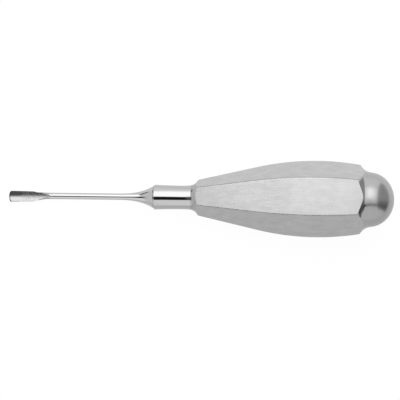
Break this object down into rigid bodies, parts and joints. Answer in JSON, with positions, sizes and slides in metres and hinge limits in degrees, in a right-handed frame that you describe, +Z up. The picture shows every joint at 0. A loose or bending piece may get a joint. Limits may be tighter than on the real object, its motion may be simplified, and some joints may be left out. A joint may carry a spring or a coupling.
{
  "type": "dental luxator",
  "caption": "Straight dental luxator with a gouge blade, a round shank, a polished ferrule and a hollow hexagonal handle with a domed end.",
  "frame": {"origin": "on the ground plane, under the middle of the bounding box of the tool as it lies at rest", "axes": "+X from the cutting edge towards the domed end, +Z up, +Y completes the right-hand frame; the tool's own axis leans about 6 degrees down towards the cutting edge"},
  "size_m": [0.144, 0.0286, 0.0261],
  "materials": {
    "blade_steel": "polished",
    "ferrule_steel": "polished",
    "handle_steel": "satin"
  },
  "bodies": {
    "root": {"working_end": "blade_steel", "ferrule": "ferrule_steel", "handle": "handle_steel"}
  },
  "joints": []
}
